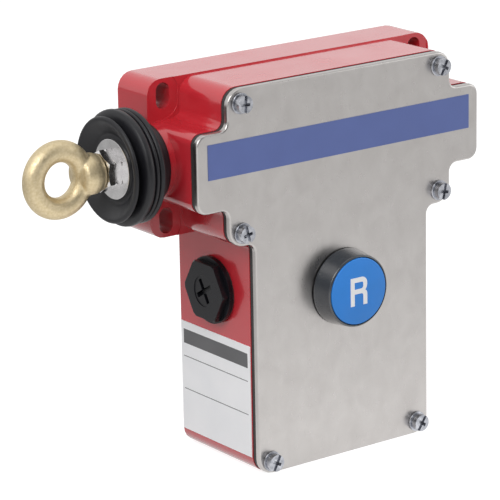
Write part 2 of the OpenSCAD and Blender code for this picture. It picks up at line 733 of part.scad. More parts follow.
// ---- Reset button ----
seal_t = 0.5;
seal_w = 2.1;
cap_d = bezel_d - 2 * bezel_rim;
reset_nut_w = 3.5;
reset_nut_web = 2.2;      // wall left inside the nut's notches
bezel_back = -front - seal_t;
bezel_front = -front - bezel_h;
rim_t = 0.9;
pocket_floor = bezel_back - rim_t;
cap_recess = 0.2;
cap_front = bezel_front + cap_recess;
cap_back = pocket_floor - gap - button_travel;
stem_d = 16;
stick_d = 8;
stick_end = latch_plate_y0 - gap;
stick_reach = 3.7;        // of the plunger's stick past the barrel
barrel_end = stick_end - stick_reach;
barrel_end_t = 2;
spring_room = 6;
stem_end = barrel_end - barrel_end_t - spring_room;
nut_h = 4;

module reset_bezel() {
    r = bezel_d / 2;
    color([0.2, 0.22, 0.25]) difference() {
        union() {
            translate([0, 0, -button_z]) rotate([-90, 0, 0]) rotate_extrude($fn = 72)
                polygon([[0, bezel_front], [r - 1.3, bezel_front], [r - 0.9, bezel_front + 0.4],
                    [r - 0.1, bezel_back - 1.2], [r, bezel_back], [0, bezel_back]]);
            disc_y(0, -button_z, bezel_back, barrel_end, barrel_d);
        }
        disc_y(0, -button_z, bezel_front - through, pocket_floor, cap_d + 2 * gap);
        disc_y(0, -button_z, pocket_floor - through, barrel_end - barrel_end_t, stem_d + 2 * fit);
        disc_y(0, -button_z, pocket_floor, barrel_end + through, stick_d + 2 * fit);
    }
}
module reset_seal() {
    color("dimgray") ring_y(0, -button_z, bezel_back, -front,
        barrel_d + 2 * seal_w, barrel_d + 2 * fit);
}
module reset_nut() {
    color([0.25, 0.25, 0.27]) difference() {
        disc_y(0, -button_z, -cover_back, -cover_back + nut_h, barrel_d + 2 * reset_nut_w);
        disc_y(0, -button_z, -cover_back - through, -cover_back + nut_h + through, barrel_d + 2 * fit);
        for (a = [0:45:315]) translate([0, 0, -button_z]) rotate([0, a, 0])
            block(barrel_d / 2 + reset_nut_web, barrel_d, -cover_back + 1,
                -cover_back + nut_h + through, -1.5, 1.5);
    }
}
module reset_cap() {
    r = cap_d / 2;
    color("royalblue") translate([0, 0, -button_z]) rotate([-90, 0, 0]) rotate_extrude($fn = 72)
        polygon([[0, cap_front], [r - 0.7, cap_front], [r, cap_front + 0.6], [r, cap_back], [0, cap_back]]);
}
module reset_plunger() {
    color([0.2, 0.2, 0.22]) {
        disc_y(0, -button_z, cap_back, stem_end, stem_d);
        disc_y(0, -button_z, stem_end, stick_end, stick_d);
    }
}
module reset_spring() {
    mean = (stem_d + stick_d) / 4;
    color("lightslategray") translate([0, stem_end + gap, -button_z]) rotate([-90, 0, 0])
        coil(mean, 0.9, barrel_end - barrel_end_t - stem_end - 2 * gap, 3);
}
module plunger_clip() {
    color("darkgray") ring_y(0, -button_z, barrel_end + gap, barrel_end + gap + clip_t,
        stick_d + 5, stick_d + 2 * fit);
}

// ---- Cable entries and earth ----
plug_seal_t = 0.7;
plug_collar_t = 1.6;
plug_head_t = 2.6;
cross_turn = -31;         // turn of a plug's cross recess
cross_reach = 4.7;        // from the plug's axis to the end of the recess
cross_w = 1.7;
dish_d = 11.4;
dish_depth = 0.3;

// A plug in the left wall, with its head towards -X.
module plug() {
    x1 = -col_x - plug_seal_t;
    x0 = x1 - plug_collar_t;
    hex = [x0 - plug_head_t, rod_y, -entry_z];
    difference() {
        union() {
            disc_x(x0, x1, plug_d, rod_y, -entry_z);
            intersection() {
                translate(hex) rotate([0, 90, 0]) rotate([0, 0, 30])
                    cylinder(h = plug_head_t, d = plug_af / cos(30), $fn = 6);
                translate(hex) rotate([0, 90, 0])
                    cylinder(h = plug_head_t, d1 = 1.1 * plug_af, d2 = 1.1 * plug_af + 2 * plug_head_t);
            }
            disc_x(x1, -col_x + entry_wall, entry_d - 2 * fit, rod_y, -entry_z);
        }
        disc_x(x0 - plug_head_t - through, x0 - plug_head_t + dish_depth, dish_d, rod_y, -entry_z);
        for (a = [0, 90]) translate(hex) rotate([a + cross_turn, 0, 0])
            block(-through, 2, -cross_w / 2, cross_w / 2, -cross_reach, cross_reach);
        disc_x(x1 + 2, -col_x + entry_wall + through, entry_d - 4, rod_y, -entry_z);
    }
}
module plug_seal() {
    difference() {
        disc_x(-col_x - plug_seal_t, -col_x, plug_d - 1, rod_y, -entry_z);
        disc_x(-col_x - plug_seal_t - through, -col_x + through, entry_d, rod_y, -entry_z);
    }
}
module left_plug() { color([0.15, 0.15, 0.16]) plug(); }
module left_plug_seal() { color("dimgray") plug_seal(); }
module right_plug() { color([0.15, 0.15, 0.16]) mirror([1, 0, 0]) plug(); }
module right_plug_seal() { color("dimgray") mirror([1, 0, 0]) plug_seal(); }
module earth_screw() {
    color("khaki") cheese_screw(earth_x, earth_z, -floor_t - earth_post_h, screw_d, 7, 2.4,
        earth_post_h);
}

housing();
cover();
cover_gasket();
cover_screws();
cover_washers();
front_strip();
side_label();
front_bush();
rear_bush();
chassis_plate();
chassis_screws();
rocker_post();
rocker_clip();
contact_block();
block_screws();
fixed_contacts();
terminal_screws();
terminal_clamps();
latch_pin();
latch_spring();
reset_bezel();
reset_seal();
reset_nut();
reset_spring();
left_plug();
left_plug_seal();
right_plug();
right_plug_seal();
earth_screw();
rubber_boot();
main_spring();
pull_rod();
pull_eye();
lock_nut();
rod_washer();
spring_seat();
drive_spool();
rod_clip();
rocker_lever();
rocker_roller();
drive_pin();
contact_carrier();
contact_bridges();
reset_cap();
reset_plunger();
plunger_clip();
latch_lever();
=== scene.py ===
import json
import math

import bmesh
import bpy
from mathutils import Matrix, Vector


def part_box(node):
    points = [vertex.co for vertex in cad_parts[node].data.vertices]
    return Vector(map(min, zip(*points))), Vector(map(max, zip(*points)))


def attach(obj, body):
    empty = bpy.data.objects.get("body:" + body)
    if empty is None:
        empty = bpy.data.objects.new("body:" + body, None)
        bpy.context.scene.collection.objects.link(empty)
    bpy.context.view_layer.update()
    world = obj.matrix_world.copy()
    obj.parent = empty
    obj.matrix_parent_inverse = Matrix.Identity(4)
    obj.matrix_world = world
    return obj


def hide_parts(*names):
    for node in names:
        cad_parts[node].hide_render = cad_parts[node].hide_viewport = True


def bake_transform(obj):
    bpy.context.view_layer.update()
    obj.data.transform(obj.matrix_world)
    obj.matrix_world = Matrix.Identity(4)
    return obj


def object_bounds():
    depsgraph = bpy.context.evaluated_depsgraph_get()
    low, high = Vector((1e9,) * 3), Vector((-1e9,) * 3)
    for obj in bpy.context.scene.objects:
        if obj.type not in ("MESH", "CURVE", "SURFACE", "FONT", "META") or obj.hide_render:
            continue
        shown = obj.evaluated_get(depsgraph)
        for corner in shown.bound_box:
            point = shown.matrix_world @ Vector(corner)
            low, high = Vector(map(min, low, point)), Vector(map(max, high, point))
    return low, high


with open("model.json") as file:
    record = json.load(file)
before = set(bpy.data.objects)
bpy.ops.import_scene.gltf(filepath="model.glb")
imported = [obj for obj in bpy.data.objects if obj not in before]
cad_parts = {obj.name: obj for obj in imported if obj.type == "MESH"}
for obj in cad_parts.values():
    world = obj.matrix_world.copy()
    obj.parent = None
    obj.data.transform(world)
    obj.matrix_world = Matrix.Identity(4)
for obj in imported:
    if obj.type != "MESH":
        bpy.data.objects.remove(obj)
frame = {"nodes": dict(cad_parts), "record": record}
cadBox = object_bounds()
nodes = frame["nodes"]
mm = 0.001
weld = 0.0005 * mm  # vertices of a made piece that are nearer than this become one
print("frame loaded:", len(nodes), "nodes")


viewpoint = {
    "azimuth": -36.29,  # degrees round the switch, from the front
    "elevation": 16.22,
    "roll": -1.10,
    "distance": 1.0224,  # metres from the aim point
    "lens": 211.7,
    "nearest": 0.01,  # metres, where the view starts
    "aimX": -0.04128,  # the aim point lies on the cover's front
    "aimZ": -0.02977,
}


def placeCamera(settings):
    azimuth = math.radians(settings["azimuth"])
    elevation = math.radians(settings["elevation"])
    roll = math.radians(settings["roll"])
    back = Vector((math.sin(azimuth) * math.cos(elevation),
                   -math.cos(azimuth) * math.cos(elevation), math.sin(elevation)))
    right = Vector((math.cos(azimuth), math.sin(azimuth), 0))
    up = back.cross(right)
    rolledRight = math.cos(roll) * right + math.sin(roll) * up
    rolledUp = math.cos(roll) * up - math.sin(roll) * right
    aim = Vector((settings["aimX"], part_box("cover")[0].y, settings["aimZ"]))
    turn = Matrix((rolledRight, rolledUp, back)).transposed().to_4x4()
    cameraData = bpy.data.cameras.new("productCamera")
    cameraData.lens = settings["lens"]
    cameraData.clip_start = settings["nearest"]
    camera = bpy.data.objects.new("productCamera", cameraData)
    camera.matrix_world = Matrix.Translation(aim + back * settings["distance"]) @ turn
    bpy.context.scene.collection.objects.link(camera)
    bpy.context.scene.camera = camera


def startFinish(name, color, metallic=0.0, roughness=0.5, **sockets):
    material = bpy.data.materials.new(name)
    material.use_nodes = True
    shader = material.node_tree.nodes["Principled BSDF"]
    shader.inputs["Base Color"].default_value = (*color, 1)
    shader.inputs["Metallic"].default_value = metallic
    shader.inputs["Roughness"].default_value = roughness
    for socket, value in sockets.items():
        shader.inputs[socket.replace("_", " ")].default_value = value
    return material, shader


def addNode(tree, kind, inputs=None, operation=None):
    # Inputs are values or the outputs of other nodes, by the socket's name or number
    node = tree.nodes.new("ShaderNode" + kind)
    if operation:
        node.operation = operation
    for socket, value in (inputs or {}).items():
        if isinstance(value, bpy.types.NodeSocket):
            tree.links.new(value, node.inputs[socket])
        else:
            node.inputs[socket].default_value = value
    return node


def addRamp(tree, factor, stops):
    # Stops are (position, colour)
    ramp = addNode(tree, "ValToRGB", {"Fac": factor})
    elements = ramp.color_ramp.elements
    for index, (position, color) in enumerate(stops):
        stop = elements[index] if index < 2 else elements.new(position)
        stop.position = position
        stop.color = (*color, 1)
    return ramp.outputs["Color"]


def addSpan(tree, factor, fromRange, toRange):
    span = addNode(tree, "MapRange", {"Value": factor, "From Min": fromRange[0],
                                      "From Max": fromRange[1], "To Min": toRange[0],
                                      "To Max": toRange[1]})
    return span.outputs["Result"]


def grey(level):
    return (level, level, level)


studio = {
    "ambient": 0.86,  # light of the white room on matt surfaces
    "behind": 0.45,  # the same from behind the switch
    "ambientSpan": (-0.1, 0.7),  # where it changes, from in front to behind
    "reflected": 1.0,  # brightness of the room in reflections
    "darkSide": 0.22,  # brightness of the room behind the camera, in reflections
    "darkTowards": (-0.25, -0.85, 0.45),
    "darkSpan": (0.25, 0.95),  # where the room starts and ends growing darker
}


def lightRoom(settings):
    world = bpy.data.worlds.new("studioRoom")
    bpy.context.scene.world = world
    world.use_nodes = True
    tree = world.node_tree
    tree.nodes.clear()
    direction = addNode(tree, "TexCoord").outputs["Generated"]
    towards = addNode(tree, "VectorMath", {0: direction, 1: settings["darkTowards"]}, "DOT_PRODUCT")
    levels = (settings["reflected"], settings["darkSide"])
    stops = [(place, grey(level)) for place, level in zip(settings["darkSpan"], levels)]
    mirrored = addRamp(tree, towards.outputs["Value"], stops)
    depth = addNode(tree, "SeparateXYZ", {0: direction}).outputs["Y"]
    strength = addSpan(tree, depth, settings["ambientSpan"],
                       (settings["ambient"], settings["behind"]))
    matt = addNode(tree, "Background", {"Strength": strength})
    shiny = addNode(tree, "Background", {"Color": mirrored})
    white = addNode(tree, "Background", {"Color": (1, 1, 1, 1)})
    path = addNode(tree, "LightPath")
    glossyMix = addNode(tree, "MixShader", {
        "Fac": path.outputs["Is Glossy Ray"], 1: matt.outputs[0], 2: shiny.outputs[0]})
    cameraMix = addNode(tree, "MixShader", {
        "Fac": path.outputs["Is Camera Ray"], 1: glossyMix.outputs[0], 2: white.outputs[0]})
    addNode(tree, "OutputWorld", {"Surface": cameraMix.outputs[0]})


softboxes = {
    "keyBox": {"place": (-0.55, -0.65, 0.75), "aim": (-0.03, -0.03, -0.03),
               "width": 0.5, "power": 1.9},
    "fillBox": {"place": (0.75, -0.55, 0.25), "aim": (0, -0.03, -0.05), "width": 0.6, "power": 1.3},
    "topBox": {"place": (0.05, -0.20, 0.90), "aim": (0, -0.03, 0), "width": 0.6, "power": 0.8},
    "sideBox": {"place": (-0.80, -0.25, 0.60), "aim": (-0.03, -0.03, -0.03),
                "width": 0.5, "power": 3.8},
}


def addSoftbox(name, settings):
    lampData = bpy.data.lights.new(name, "AREA")
    lampData.shape = "SQUARE"
    lampData.size = settings["width"]
    lampData.energy = settings["power"]
    lamp = bpy.data.objects.new(name, lampData)
    place = Vector(settings["place"])
    lamp.location = place
    lamp.rotation_euler = (Vector(settings["aim"]) - place).to_track_quat("-Z", "Y").to_euler()
    bpy.context.scene.collection.objects.link(lamp)


floorLook = {
    "halfWidth": 4,  # metres
    "gap": 0.2 * mm,  # under the switch
    "albedo": 0.35,
    "roughness": 0.9,
    "specular": 0.1,
    "lift": 0.86,  # brings the floor up to white for the camera
    "glowAlong": (0.6, -0.8, 0),  # the direction in which the glow changes
    "glowShift": 0.5,  # where the switch stands on that way
    # (place on that way, brightness in reflections)
    "glow": [(0.0, 0.14), (0.42, 0.6), (0.55, 0.95), (0.75, 0.72), (1.0, 0.5)],
}


def layFloor(settings):
    mesh = bpy.data.meshes.new("studioFloor")
    bm = bmesh.new()
    bmesh.ops.create_grid(bm, x_segments=1, y_segments=1, size=settings["halfWidth"])
    bmesh.ops.translate(bm, verts=bm.verts, vec=(0, 0, cadBox[0][2] - settings["gap"]))
    bm.to_mesh(mesh)
    bm.free()
    floor = bpy.data.objects.new("studioFloor", mesh)
    bpy.context.scene.collection.objects.link(floor)
    material, shader = startFinish("paleFloor", grey(settings["albedo"]),
                                   roughness=settings["roughness"],
                                   Specular_IOR_Level=settings["specular"])
    tree = material.node_tree
    # In reflections the floor is brightest just in front of the switch
    place = addNode(tree, "TexCoord").outputs["Object"]
    along = addNode(tree, "VectorMath", {0: place, 1: settings["glowAlong"]}, "DOT_PRODUCT")
    centred = addNode(tree, "Math", {0: along.outputs["Value"], 1: settings["glowShift"]}, "ADD")
    stops = [(position, grey(level)) for position, level in settings["glow"]]
    level = addRamp(tree, centred.outputs[0], stops)
    path = addNode(tree, "LightPath")
    mirrored = addNode(tree, "Math", {0: path.outputs["Is Glossy Ray"], 1: level}, "MULTIPLY")
    strength = addNode(tree, "Math", {0: path.outputs["Is Camera Ray"], 1: settings["lift"],
                                      2: mirrored.outputs[0]}, "MULTIPLY_ADD")
    glow = addNode(tree, "Emission", {"Color": (1, 1, 1, 1), "Strength": strength.outputs[0]})
    total = addNode(tree, "AddShader", {0: shader.outputs[0], 1: glow.outputs[0]})
    tree.links.new(total.outputs[0], tree.nodes["Material Output"].inputs["Surface"])
    mesh.materials.append(material)


placeCamera(viewpoint)
lightRoom(studio)
for name, settings in softboxes.items():
    addSoftbox(name, settings)
layFloor(floorLook)
bpy.context.scene.view_settings.view_transform = "Standard"
print("camera, light and floor ready")


def addGrain(material, scale, stretch=(1, 1, 1), detail=3.0, distortion=0.0):
    # Noise on the object's own coordinates, stretched along the axes
    tree = material.node_tree
    place = addNode(tree, "TexCoord").outputs["Object"]
    mapping = addNode(tree, "Mapping", {"Vector": place, "Scale": stretch})
    grain = addNode(tree, "TexNoise", {"Vector": mapping.outputs["Vector"], "Scale": scale,
                                       "Detail": detail, "Distortion": distortion})
    return grain.outputs["Fac"]


def spreadColor(material, shader, factor, dark, light, low=0.3, high=0.7):
    # Colour between dark and light, by a grain
    color = addRamp(material.node_tree, factor, [(low, dark), (high, light)])
    material.node_tree.links.new(color, shader.inputs["Base Color"])


def spreadRoughness(material, shader, factor, smooth, rough, low=0.3, high=0.7):
    roughness = addSpan(material.node_tree, factor, (low, high), (smooth, rough))
    material.node_tree.links.new(roughness, shader.inputs["Roughness"])


def addBump(material, shader, factor, depth, strength=1.0):
    # Depth is the height of the relief in metres
    tree = material.node_tree
    bump = addNode(tree, "Bump", {"Strength": strength, "Distance": depth, "Height": factor})
    previous = shader.inputs["Normal"]
    if previous.is_linked:
        tree.links.new(previous.links[0].from_socket, bump.inputs["Normal"])
    tree.links.new(bump.outputs["Normal"], previous)


def redEnamel():
    material, shader = startFinish("redEnamel", (0.53, 0.025, 0.036), roughness=0.22,
                                   Coat_Weight=0.6, Coat_Roughness=0.08)
    spreadColor(material, shader, addGrain(material, 18),
                dark=(0.50, 0.022, 0.033), light=(0.56, 0.027, 0.039))
    spreadRoughness(material, shader, addGrain(material, 55), smooth=0.17, rough=0.28)
    addBump(material, shader, addGrain(material, 420, detail=1.0), depth=0.03 * mm, strength=0.35)
    addBump(material, shader, addGrain(material, 60, detail=2.0), depth=0.25 * mm, strength=0.15)
    return material


def satinStainless():
    material, shader = startFinish("satinStainless", (0.5, 0.483, 0.463), metallic=1, roughness=0.3)
    stains = addGrain(material, 130, stretch=(1, 1, 0.8), detail=9, distortion=0.4)
    spreadColor(material, shader, stains, dark=(0.455, 0.434, 0.421), light=(0.505, 0.485, 0.471))
    brush = addGrain(material, 1500, stretch=(1, 1, 0.2), detail=5)
    spreadRoughness(material, shader, brush, smooth=0.27, rough=0.32)
    addBump(material, shader, brush, depth=0.006 * mm, strength=0.15)
    addBump(material, shader, addGrain(material, 900, detail=4), depth=0.02 * mm, strength=0.06)
    return material


def castBrass():
    material, shader = startFinish("castBrass", (0.64, 0.52, 0.33), metallic=1, roughness=0.45)
    tarnish = addGrain(material, 1100, detail=8, distortion=0.2)
    spreadColor(material, shader, tarnish, dark=(0.57, 0.465, 0.28), light=(0.72, 0.61, 0.41),
                low=0.25, high=0.75)
    spreadRoughness(material, shader, addGrain(material, 900), smooth=0.38, rough=0.56)
    addBump(material, shader, addGrain(material, 1800, detail=5), depth=0.12 * mm, strength=0.6)
    return material


def spottedFinish(name, dark, light, roughness, scale, settings, **sockets):
    # Spots, patches and bumps are shares of the scale, and roughness is a span of shares
    material, shader = startFinish(name, light, settings["metallic"], roughness, **sockets)
    spots = addGrain(material, scale * settings["spots"], detail=4)
    spreadColor(material, shader, spots, dark, light)
    smooth, rough = (roughness * share for share in settings["roughness"])
    spreadRoughness(material, shader, addGrain(material, scale * settings["patches"]),
                    smooth, min(rough, 1))
    bumps = addGrain(material, scale * settings["bumps"])
    addBump(material, shader, bumps, settings["depth"], strength=0.5)
    return material


def moulded(name, dark, light, roughness, scale=900, depth=0.03 * mm, **sockets):
    # Plastic or rubber: a little drift of colour and a fine moulded grain
    settings = {"metallic": 0.0, "spots": 1 / 12, "patches": 1 / 6, "bumps": 1,
                "roughness": (0.85, 1.2), "depth": depth}
    return spottedFinish(name, dark, light, roughness, scale, settings, **sockets)


def platedMetal(name, dark, light, roughness, scale=300):
    # Metal with cloudy spots of colour
    settings = {"metallic": 1, "spots": 1, "patches": 3, "bumps": 5,
                "roughness": (0.75, 1.35), "depth": 0.01 * mm}
    return spottedFinish(name, dark, light, roughness, scale, settings)


finishes = {
    "red_paint": redEnamel(),
    "stainless": satinStainless(),
    "brass": castBrass(),
    "gasket_rubber": moulded("gasketRubber", (0.018, 0.018, 0.018), (0.035, 0.035, 0.034), 0.6),
    "boot_rubber": moulded("bootRubber", (0.007, 0.007, 0.009), (0.012, 0.012, 0.015), 0.42,
                           scale=700, depth=0.05 * mm, Specular_IOR_Level=0.38),
    "zinc_steel": platedMetal("zincSteel", (0.27, 0.28, 0.31), (0.56, 0.57, 0.61), 0.28, 500),
    "bright_steel": platedMetal("brightSteel", (0.62, 0.61, 0.61), (0.74, 0.73, 0.73), 0.2),
    "spring_steel": platedMetal("springSteel", (0.25, 0.26, 0.28), (0.40, 0.41, 0.43), 0.3),
    "bronze": platedMetal("sinteredBronze", (0.36, 0.22, 0.09), (0.52, 0.34, 0.15), 0.42),
    "copper": platedMetal("contactCopper", (0.50, 0.24, 0.12), (0.66, 0.36, 0.21), 0.28),
    "black_plastic": moulded("blackPlastic", (0.004, 0.004, 0.006), (0.008, 0.008, 0.011), 0.3,
                              Specular_IOR_Level=0.25),
    "bezel_plastic": moulded("bezelPlastic", (0.020, 0.025, 0.033), (0.028, 0.034, 0.043), 0.24,
                              Coat_Weight=0.8, Coat_Roughness=0.12),
    "blue_plastic": moulded("blueCap", (0.020, 0.225, 0.70), (0.026, 0.24, 0.75), 0.38, scale=1600,
                            depth=0.01 * mm),
    "ivory_plastic": moulded("ivoryPlastic", (0.62, 0.57, 0.45), (0.72, 0.68, 0.57), 0.5),
    "blue_film": moulded("blueFilm", (0.100, 0.142, 0.370), (0.110, 0.156, 0.400), 0.42, scale=1200,
                         depth=0.01 * mm),
    "white_film": moulded("whiteFilm", (0.88, 0.885, 0.905), (0.93, 0.93, 0.945), 0.4, scale=900,
                          depth=0.01 * mm),
}
barInk = moulded("barInk", (0.095, 0.095, 0.10), (0.125, 0.125, 0.13), 0.45)
legendInk = moulded("legendInk", (0.90, 0.91, 0.92), (0.95, 0.95, 0.96), 0.45, scale=1600)
slotOf = {part["node"]: part["material_slot"] for part in frame["record"]["subparts"]}


def giveFinish(piece, material):
    piece.data.materials.clear()
    piece.data.materials.append(material)


for name, node in nodes.items():
    giveFinish(node, finishes[slotOf[name]])
print("finishes ready:", len(finishes) + 2)


def addPiece(name, bm, material, body):
    mesh = bpy.data.meshes.new(name)
    bm.to_mesh(mesh)
    bm.free()
    piece = bpy.data.objects.new(name, mesh)
    bpy.context.scene.collection.objects.link(piece)
    giveFinish(piece, material)
    if body:
        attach(piece, body)
    return piece


def smoothByAngle(bm, degrees):
    for face in bm.faces:
        face.smooth = True
    limit = math.radians(degrees)
    for edge in bm.edges:
        if len(edge.link_faces) == 2 and edge.calc_face_angle(0) > limit:
            edge.smooth = False


def breakEdges(name, edge):
    # A merged copy of a node with small rounded edges, in place of the node
    node = edge["node"]
    bm = bmesh.new()
    bm.from_mesh(nodes[node].data)
    bmesh.ops.remove_doubles(bm, verts=bm.verts, dist=edge["merge"])
    bmesh.ops.dissolve_limit(bm, angle_limit=math.radians(edge["flat"]), verts=bm.verts,
                             edges=bm.edges, use_dissolve_boundaries=False)
    sharp = [e for e in bm.edges if len(e.link_faces) == 2
             and e.calc_face_angle(0) > math.radians(edge["angle"])
             and e.calc_length() > edge["radius"] * edge["shortest"]]
    bmesh.ops.bevel(bm, geom=sharp, offset=edge["radius"], offset_type="OFFSET", affect="EDGES",
                    segments=edge["segments"], profile=0.5, material=-1, clamp_overlap=True,
                    harden_normals=False)
    smoothByAngle(bm, edge["smooth"])
    piece = addPiece(name, bm, finishes[slotOf[node]], edge["body"])
    flats = piece.modifiers.new("keepFlats", "WEIGHTED_NORMAL")
    flats.mode = "FACE_AREA"
    flats.weight = 100  # the largest weight: broad faces keep their flat shading
    flats.keep_sharp = True
    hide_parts(node)


edgeDefaults = {
    "body": "body",
    "segments": 2,
    "angle": 32,  # degrees between two faces from which their edge is rounded
    "smooth": 30,  # degrees under which two faces are shaded as one
    "flat": 0.5,  # degrees under which two faces are joined
    "merge": 0.001 * mm,
    "shortest": 0.8,  # least length of a rounded edge, as a share of its radius
}
brokenEdges = {
    "coverPlate": {"node": "cover", "radius": 0.08 * mm, "segments": 1, "smooth": 50},
    "castBody": {"node": "housing", "radius": 0.45 * mm},
    "bezelRing": {"node": "reset_bezel", "radius": 0.25 * mm},
    "leftPlug": {"node": "left_plug", "radius": 0.18 * mm},
    "rightPlug": {"node": "right_plug", "radius": 0.18 * mm},
    "coverScrews": {"node": "cover_screws", "radius": 0.22 * mm},
    "coverWashers": {"node": "cover_washers", "radius": 0.15 * mm, "segments": 1},
    "eyeNut": {"node": "lock_nut", "body": "rod", "radius": 0.1 * mm, "segments": 1},
    "eyeWasher": {"node": "rod_washer", "body": "rod", "radius": 0.25 * mm},
}
for name, changes in brokenEdges.items():
    breakEdges(name, {**edgeDefaults, **changes})
print("edges broken:", len(brokenEdges))


rodLow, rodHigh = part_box("pull_rod")
rodY = (rodLow.y + rodHigh.y) / 2
rodZ = (rodLow.z + rodHigh.z) / 2


def spinProfile(points, steps, closed=False):
    # Points are (x, radius); the outline is spun about the rod's axis
    bm = bmesh.new()
    line = [bm.verts.new((x, rodY, rodZ + radius)) for x, radius in points]
    following = line[1:] + line[:1] if closed else line[1:]
    edges = [bm.edges.new(pair) for pair in zip(line, following)]
    bmesh.ops.spin(bm, geom=line + edges, cent=(0, rodY, rodZ), axis=(1, 0, 0),
                   angle=math.tau, steps=steps, use_merge=True, use_duplicate=False)
    bmesh.ops.remove_doubles(bm, verts=bm.verts, dist=weld)
    bmesh.ops.recalc_face_normals(bm, faces=bm.faces)
    return bm


boot = {
    "steps": 64,  # round the rod
    "passes": 3,  # how often the corners of the section are cut
    "smooth": 50,
    "fixedEnd": 12.5 * mm,  # behind the washer
    "movingEnd": 0.5 * mm,
    # (distance behind the washer, radius) in mm, round the section of the wall
    "section": [(13.6, 14.6), (8.3, 15), (7.7, 20.2), (5.5, 20.3), (5.2, 18.4), (4.9, 20.3),
                (3.7, 20.2), (3.4, 18), (3.1, 20.2), (1.6, 20.7), (-0.1, 20.3), (-0.7, 15),
                (-1.5, 14.3), (-2.2, 15), (-2.5, 18.4), (-3.3, 18.9), (-4.1, 18.3), (-4, 16.8),
                (-1.4, 13.4), (-0.2, 12.3), (0, 11.2), (0, 4.3), (2.7, 4.3), (2.7, 15.7),
                (5, 15.7), (5.3, 13.05), (13.6, 13.05)],
}


def cutCorners(points, passes, share=0.25):
    # Rounds a closed outline by cutting every corner
    for _ in range(passes):
        rounded = []
        for here, after in zip(points, points[1:] + points[:1]):
            rounded.append(here.lerp(after, share))
            rounded.append(here.lerp(after, 1 - share))
        points = rounded
    return points


def rubberBoot(settings):
    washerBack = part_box("rod_washer")[1].x
    points = [Vector((washerBack + x * mm, r * mm)) for x, r in settings["section"]]
    bm = spinProfile(cutCorners(points, settings["passes"]), settings["steps"], closed=True)
    smoothByAngle(bm, settings["smooth"])
    piece = addPiece("rubberBoot", bm, finishes["boot_rubber"], None)
    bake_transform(piece)
    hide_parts("rubber_boot")


rubberBoot(boot)
print("boot ready")


eye = {
    "bar": 3.85 * mm,  # radius of the ring's bar
    "ringSteps": 96,
    "barSteps": 32,
    "collarSteps": 64,
    # (distance in front of the nuts, radius) in mm
    "collar": [(9.4, 0), (9.2, 3.2), (8.6, 5.4), (7.8, 6.6), (6.4, 7.05), (4.6, 7.3),
               (2.8, 7.25), (1.3, 6.9), (0.4, 6.3), (0.02, 5.6), (0, 0)],
    "voxel": 0.4 * mm,  # ring and collar are joined at this grain
    "smoothing": 5,  # rounds the neck between them
    "relax": 0.5,
}
shank = {
    "radius": 3.95 * mm,
    "tip": 3.3 * mm,  # radius at the end, after the chamfer
    "chamfer": 0.6 * mm,
    "steps": 48,
    "smooth": 30,
}


def forgedEye(settings):
    low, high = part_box("pull_eye")
    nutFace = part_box("lock_nut")[0].x
    outer = (high.z - low.z) / 2
    bar = settings["bar"]
    centerX = low.x + outer
    bm = bmesh.new()
    circle = bmesh.ops.create_circle(bm, cap_ends=False, radius=bar, segments=settings["barSteps"])
    turn = Matrix.Rotation(math.pi / 2, 3, "Z")
    bmesh.ops.rotate(bm, verts=circle["verts"], cent=(0, 0, 0), matrix=turn)
    bmesh.ops.translate(bm, verts=circle["verts"], vec=(centerX + outer - bar, rodY, rodZ))
    bmesh.ops.spin(bm, geom=bm.verts[:] + bm.edges[:], cent=(centerX, rodY, rodZ), axis=(0, 1, 0),
                   angle=math.tau, steps=settings["ringSteps"], use_merge=True)
    bmesh.ops.remove_doubles(bm, verts=bm.verts, dist=weld)
    bmesh.ops.recalc_face_normals(bm, faces=bm.faces)
    outline = [(nutFace - x * mm, radius * mm) for x, radius in settings["collar"]]
    collar = spinProfile(outline, settings["collarSteps"])
    joined = bpy.data.meshes.new("collar")
    collar.to_mesh(joined)
    collar.free()
    bm.from_mesh(joined)
    piece = addPiece("ropeEye", bm, finishes["brass"], "rod")
    remesh = piece.modifiers.new("forge", "REMESH")
    remesh.mode = "VOXEL"
    remesh.voxel_size = settings["voxel"]
    remesh.use_smooth_shade = True
    relax = piece.modifiers.new("relax", "SMOOTH")
    relax.iterations = settings["smoothing"]
    relax.factor = settings["relax"]
    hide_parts("pull_eye")


def eyeShank(settings):
    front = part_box("lock_nut")[0].x
    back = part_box("pull_eye")[1].x
    radius = settings["radius"]
    bm = spinProfile([(front, 0), (front, radius), (back - settings["chamfer"], radius),
                      (back, settings["tip"]), (back, 0)], settings["steps"])
    smoothByAngle(bm, settings["smooth"])
    addPiece("eyeShank", bm, finishes["brass"], "rod")


forgedEye(eye)
eyeShank(shank)
print("rope eye ready")


cap = {
    "proud": 0.25 * mm,  # how far it stands out of the bezel
    "edge": 0.3 * mm,  # rounding of the front edge
    "edgeSegments": 3,
    "steps": 96,
    "smooth": 35,
}
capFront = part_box("reset_bezel")[0].y - cap["proud"]


def buttonCap(settings):
    low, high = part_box("reset_cap")
    depth = high.y - capFront
    radius = (high.x - low.x) / 2
    bm = bmesh.new()
    bmesh.ops.create_cone(bm, cap_ends=True, segments=settings["steps"], depth=depth,
                          radius1=radius, radius2=radius)
    forward = Matrix.Rotation(math.pi / 2, 3, "X")
    bmesh.ops.rotate(bm, verts=bm.verts, cent=(0, 0, 0), matrix=forward)
    center = ((low.x + high.x) / 2, high.y - depth / 2, (low.z + high.z) / 2)
    bmesh.ops.translate(bm, verts=bm.verts, vec=center)
    rimBack = capFront + settings["edge"] / 2
    rim = [e for e in bm.edges if all(v.co.y < rimBack for v in e.verts)]
    bmesh.ops.bevel(bm, geom=rim, offset=settings["edge"], offset_type="OFFSET", affect="EDGES",
                    segments=settings["edgeSegments"], profile=0.5, material=-1,
                    clamp_overlap=True)
    smoothByAngle(bm, settings["smooth"])
    piece = addPiece("buttonCap", bm, finishes["blue_plastic"], "button")
    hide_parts("reset_cap")


